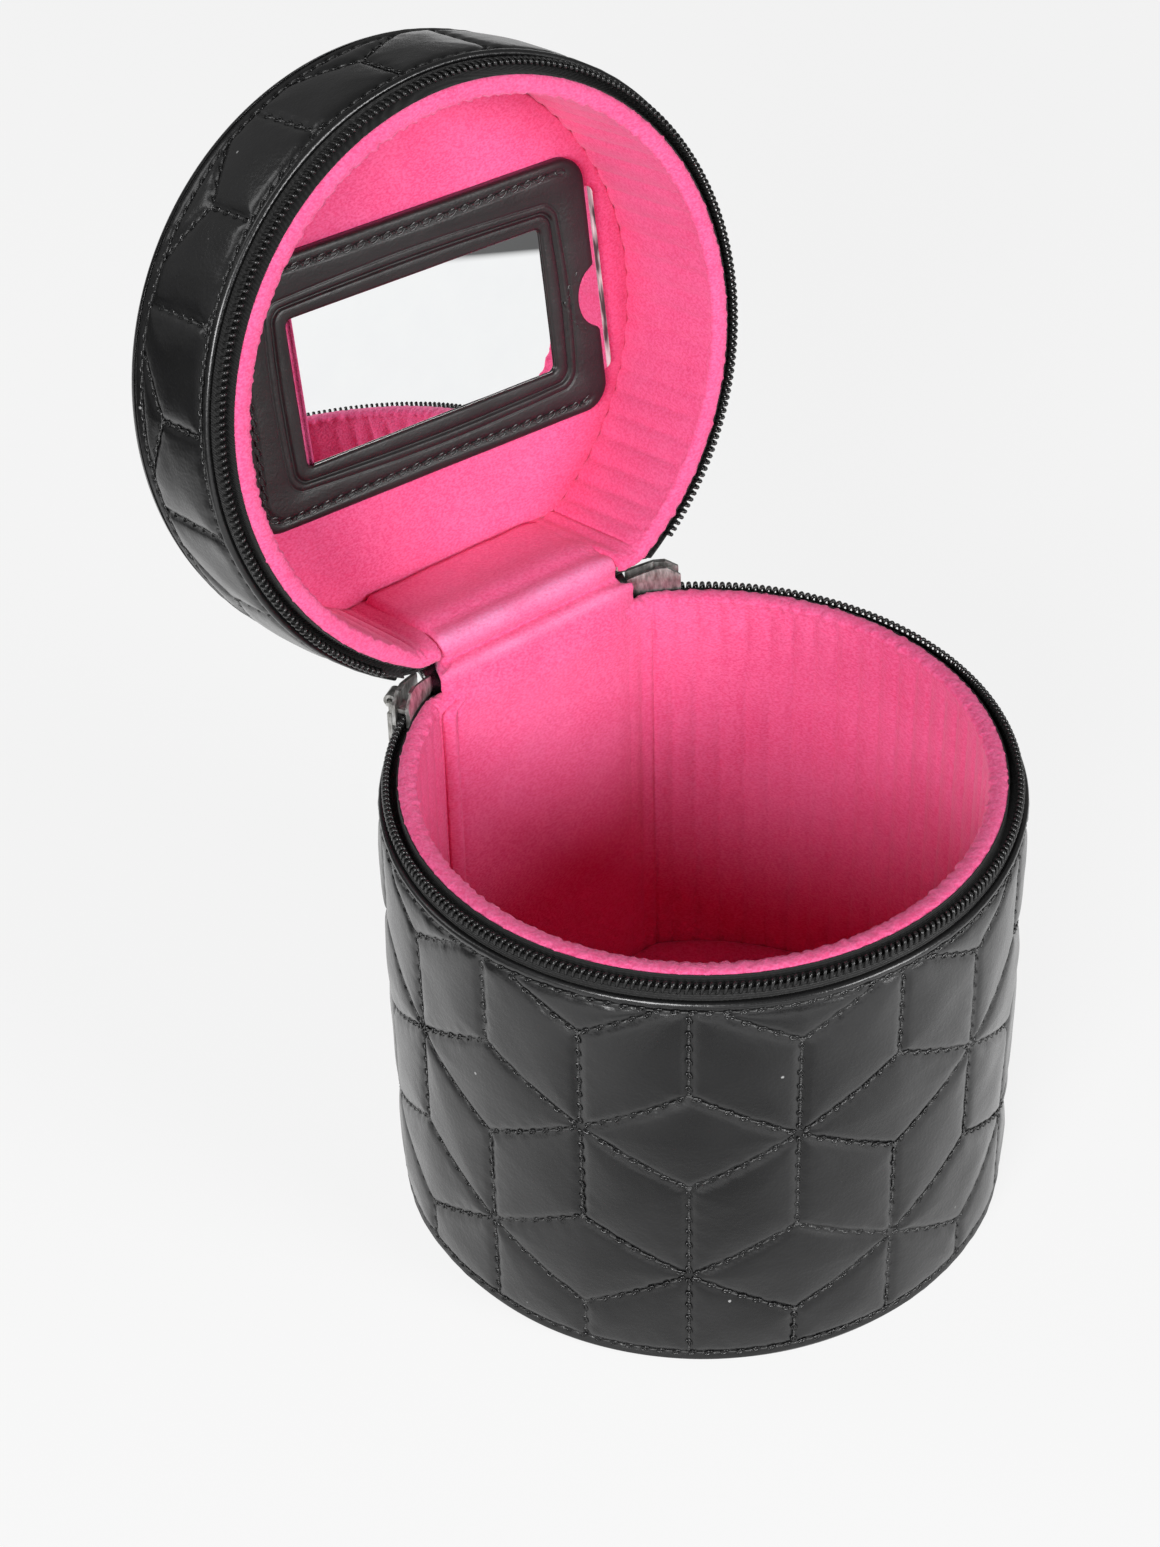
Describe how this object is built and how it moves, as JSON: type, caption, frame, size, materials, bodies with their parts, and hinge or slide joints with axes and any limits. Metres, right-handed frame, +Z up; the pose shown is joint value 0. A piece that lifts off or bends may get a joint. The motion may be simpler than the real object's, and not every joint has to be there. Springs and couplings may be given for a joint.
{
  "type": "jewellery case",
  "caption": "Round zip-up jewellery case in quilted leather, with a velour-lined base and a hinged lid that holds a framed mirror.",
  "frame": {"origin": "centre of the round underside, on the surface the case stands on", "axes": "+Z up, +Y towards the hinge, -Y towards the front, +X to the right seen from the front"},
  "size_m": [0.132, 0.1785, 0.23],
  "materials": {
    "black_leather": "semi-gloss grain",
    "pink_velour": "short pile",
    "grey_board": "matte",
    "black_tape": "woven",
    "black_nylon": "satin",
    "silver_metal": "nickel plate",
    "mirror_glass": "polished"
  },
  "bodies": {
    "base": {"base_quilted_cover": "black_leather", "base_bottom_cover": "black_leather", "base_back_panel": "black_leather", "base_bottom_board": "grey_board", "base_wall_board": "grey_board", "base_liner_card": "grey_board", "base_lining": "pink_velour", "base_floor_pad": "pink_velour", "base_zip_tape": "black_tape", "base_zip_coil": "black_nylon", "base_hinge_strip": "pink_velour", "hinge_fold": "pink_velour"},
    "lid": {"lid_quilted_band": "black_leather", "lid_quilted_top": "black_leather", "lid_back_panel": "black_leather", "lid_top_board": "grey_board", "lid_wall_board": "grey_board", "lid_liner_card": "grey_board", "lid_lining": "pink_velour", "lid_pad": "pink_velour", "lid_zip_tape": "black_tape", "lid_zip_coil": "black_nylon", "lid_hinge_strip": "pink_velour", "mirror_frame": "black_leather"},
    "mirror_plate": {"mirror": "mirror_glass"},
    "right_zip_slider": {"right_slider": "silver_metal"},
    "left_zip_slider": {"left_slider": "silver_metal"},
    "right_zip_tab": {"right_pull_tab": "silver_metal"},
    "left_zip_tab": {"left_pull_tab": "silver_metal"}
  },
  "joints": [
    {"name": "lid_hinge", "type": "hinge", "parent": "base", "child": "lid", "pos_m": [0, 0.05725, 0.1093], "axis": [-1, 0, 0], "range_deg": [-101.37, 0]},
    {"name": "mirror_slide", "type": "slide", "parent": "lid", "child": "mirror_plate", "axis": [0.999, -0.0086, -0.0428], "range_m": [-0.003, 0.0025]},
    {"name": "right_slider_run", "type": "hinge", "parent": "base", "child": "right_zip_slider", "pos_m": [0, 0, 0.1059], "axis": [0, 0, -1], "range_deg": [0, 143.5]},
    {"name": "right_tab_swing", "type": "hinge", "parent": "right_zip_slider", "child": "right_zip_tab", "pos_m": [0.03467, 0.05885, 0.1059], "axis": [0.8616, -0.5075, 0], "range_deg": [0, 90]},
    {"name": "left_slider_run", "type": "hinge", "parent": "base", "child": "left_zip_slider", "pos_m": [0, 0, 0.1059], "axis": [0, 0, 1], "range_deg": [0, 143.5]},
    {"name": "left_tab_swing", "type": "hinge", "parent": "left_zip_slider", "child": "left_zip_tab", "pos_m": [-0.03467, 0.05885, 0.1059], "axis": [0.8616, 0.5075, 0], "range_deg": [0, 90]}
  ]
}
